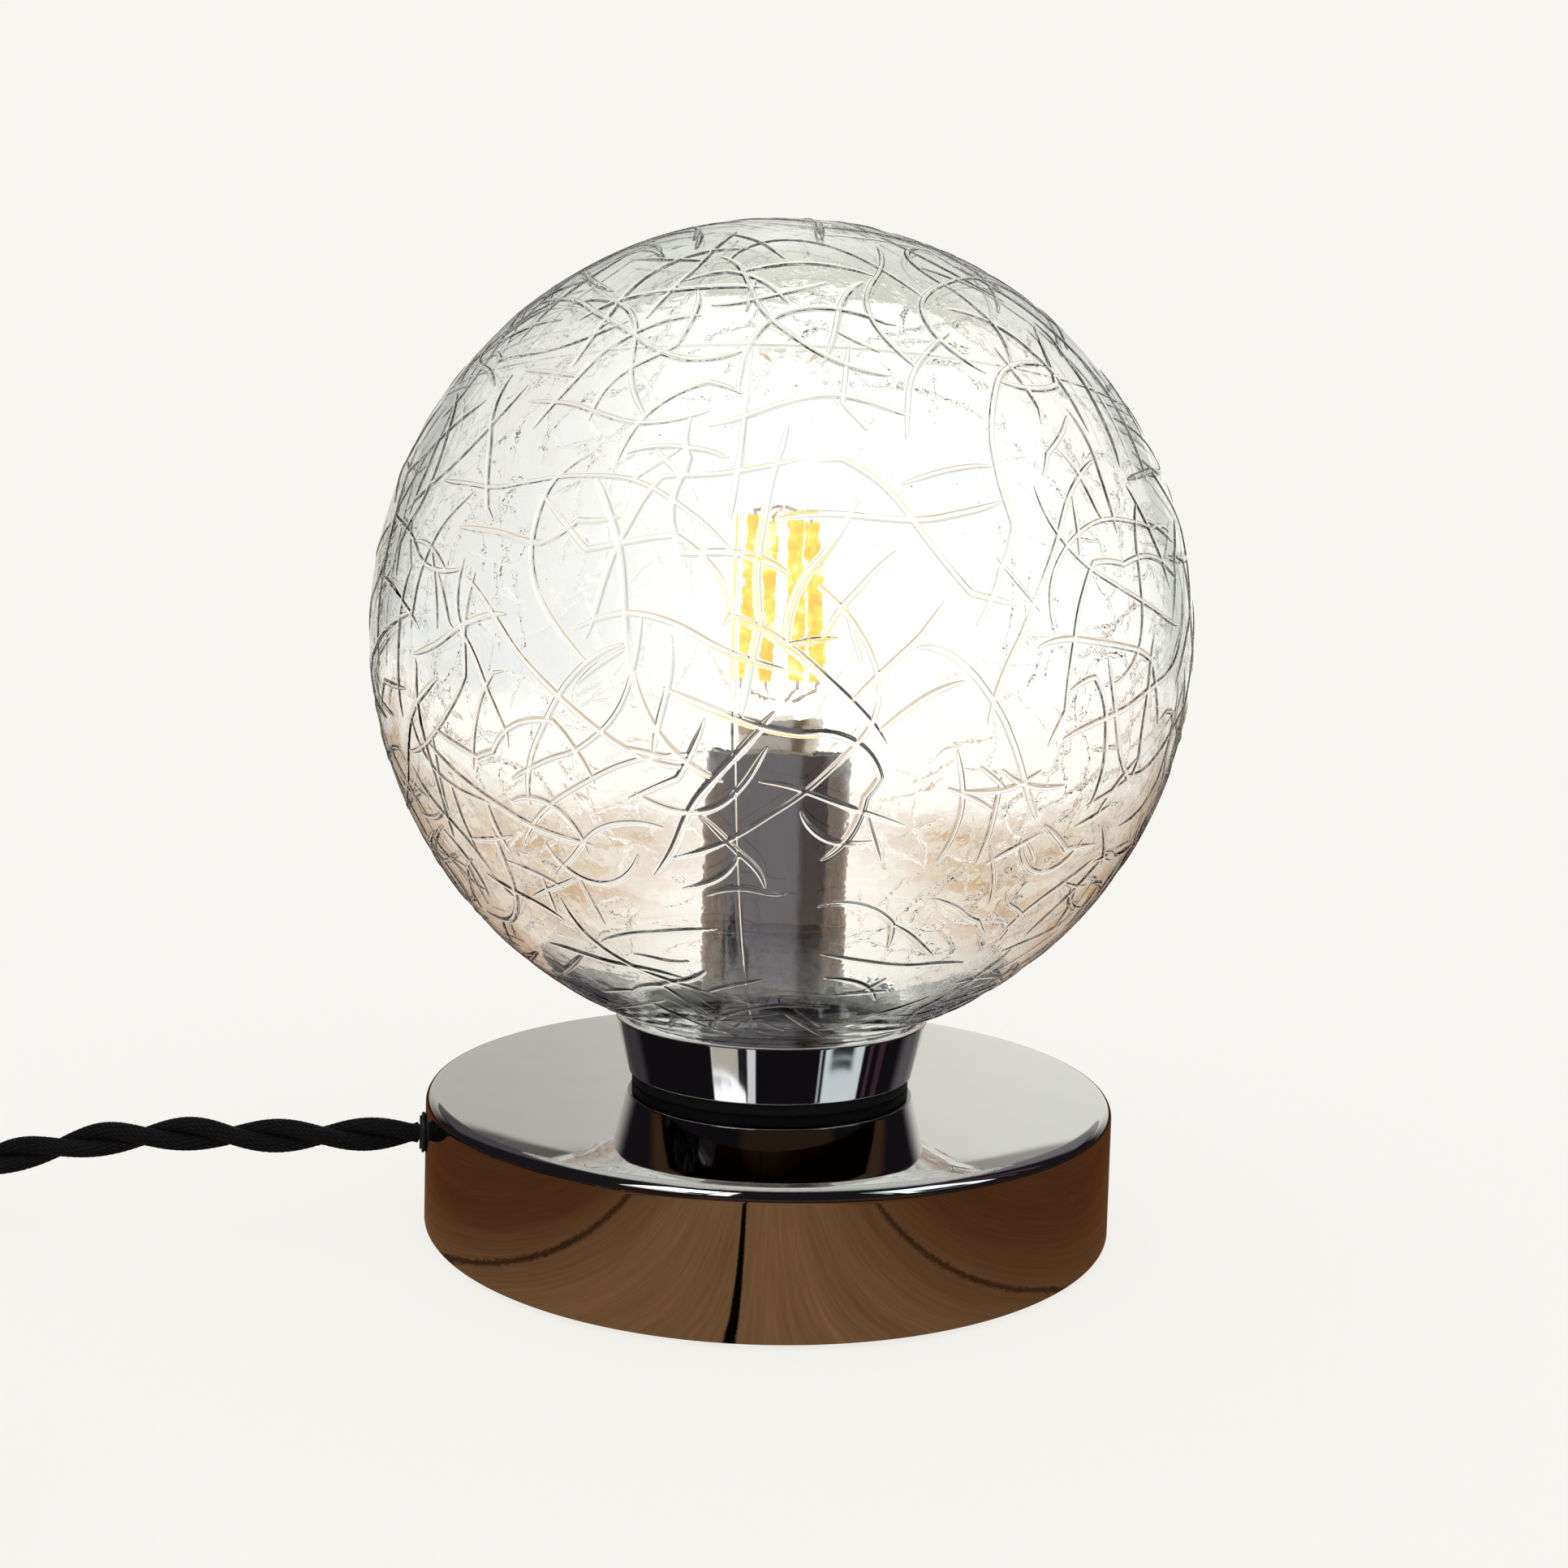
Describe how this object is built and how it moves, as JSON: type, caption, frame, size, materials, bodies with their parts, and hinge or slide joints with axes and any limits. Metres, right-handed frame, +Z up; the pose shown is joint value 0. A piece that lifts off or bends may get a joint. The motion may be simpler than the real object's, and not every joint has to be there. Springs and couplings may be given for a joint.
{
  "type": "globe table lamp",
  "caption": "Small table lamp: clear crackled glass globe in a tapered metal collar on a low round weighted base, with a screw-in bulb and a twisted textile cord with switch and plug.",
  "frame": {"origin": "centre of the felt pad's underside, where the lamp stands", "axes": "+Z up along the lamp's axis; -X is the side the cord leaves by; the picture was taken from about -Y"},
  "size_m": [0.3331, 0.1839, 0.1772],
  "materials": {
    "black_chrome": "polished dark chrome",
    "dark_nickel": "polished dark nickel",
    "cast_iron": "black painted casting",
    "zinc_steel": "zinc plated",
    "felt": "felt",
    "black_plastic": "matt",
    "holder_plastic": "matt thermoset",
    "rubber": "matt",
    "crackle_glass": "clear with raised crackle lines",
    "bulb_glass": "clear",
    "brass": "bright",
    "nickel": "nickel plated",
    "black_gloss": "gloss",
    "filament": "phosphor coated",
    "black_textile": "braided",
    "tie_fabric": "woven",
    "core_brown": "satin",
    "core_blue": "satin"
  },
  "bodies": {
    "lamp_base": {"base_pillars": "zinc_steel", "base_screws": "zinc_steel", "base_shell": "black_chrome", "base_weight": "cast_iron", "bottom_plate": "zinc_steel", "centre_contact": "brass", "collar_cup": "black_chrome", "collar_spacer": "black_plastic", "cord_clamp_base": "black_plastic", "cord_clamp_cap": "black_plastic", "cord_clamp_screws": "zinc_steel", "cord_coil": "black_textile", "cord_grommet": "black_plastic", "cord_inner": "black_textile", "cord_lead_a": "black_textile", "cord_lead_b": "black_textile", "cord_tail": "black_textile", "cord_tie": "tie_fabric", "core_live": "core_brown", "core_neutral": "core_blue", "felt_pad": "felt", "lampholder_base": "black_plastic", "lampholder_body": "holder_plastic", "lampholder_sleeve": "dark_nickel", "lock_washer": "zinc_steel", "lower_nut": "zinc_steel", "neck_gasket": "rubber", "plug_body": "black_gloss", "plug_boot": "rubber", "plug_pins": "nickel", "screw_shell": "brass", "switch_contacts": "brass", "switch_lower": "black_gloss", "switch_screws": "zinc_steel", "switch_upper": "black_gloss", "terminal_screws": "zinc_steel", "terminals": "brass", "threaded_nipple": "zinc_steel", "upper_nut": "zinc_steel"},
    "globe": {"globe": "crackle_glass"},
    "bulb_lift": {"bulb_tip_contact": "nickel"},
    "bulb": {"bulb_cap": "nickel", "bulb_insulator": "black_gloss", "bulb_glass": "bulb_glass", "bulb_stem": "bulb_glass", "led_filaments": "filament", "filament_leads": "nickel"},
    "rocker": {"switch_rocker": "black_gloss"}
  },
  "joints": [
    {"name": "globe_lift", "type": "slide", "parent": "lamp_base", "child": "globe", "axis": [0, 0, 1], "range_m": [0, 0.14]},
    {"name": "bulb_rise", "type": "slide", "parent": "lamp_base", "child": "bulb_lift", "axis": [0, 0, 1], "range_m": [0, 0.01412]},
    {"name": "bulb_turn", "type": "hinge", "parent": "bulb_lift", "child": "bulb", "pos_m": [0, 0, 0.07], "axis": [0, 0, 1], "range_deg": [0, 1800]},
    {"name": "rocker_tilt", "type": "hinge", "parent": "lamp_base", "child": "rocker", "pos_m": [-0.183, 0.013, 0.0124], "axis": [0, 1, 0], "range_deg": [-14.5, 0]}
  ],
  "couplings": [
    {"joint": "bulb_rise", "follows": "bulb_turn", "m_per_rad": 0.00044913}
  ]
}
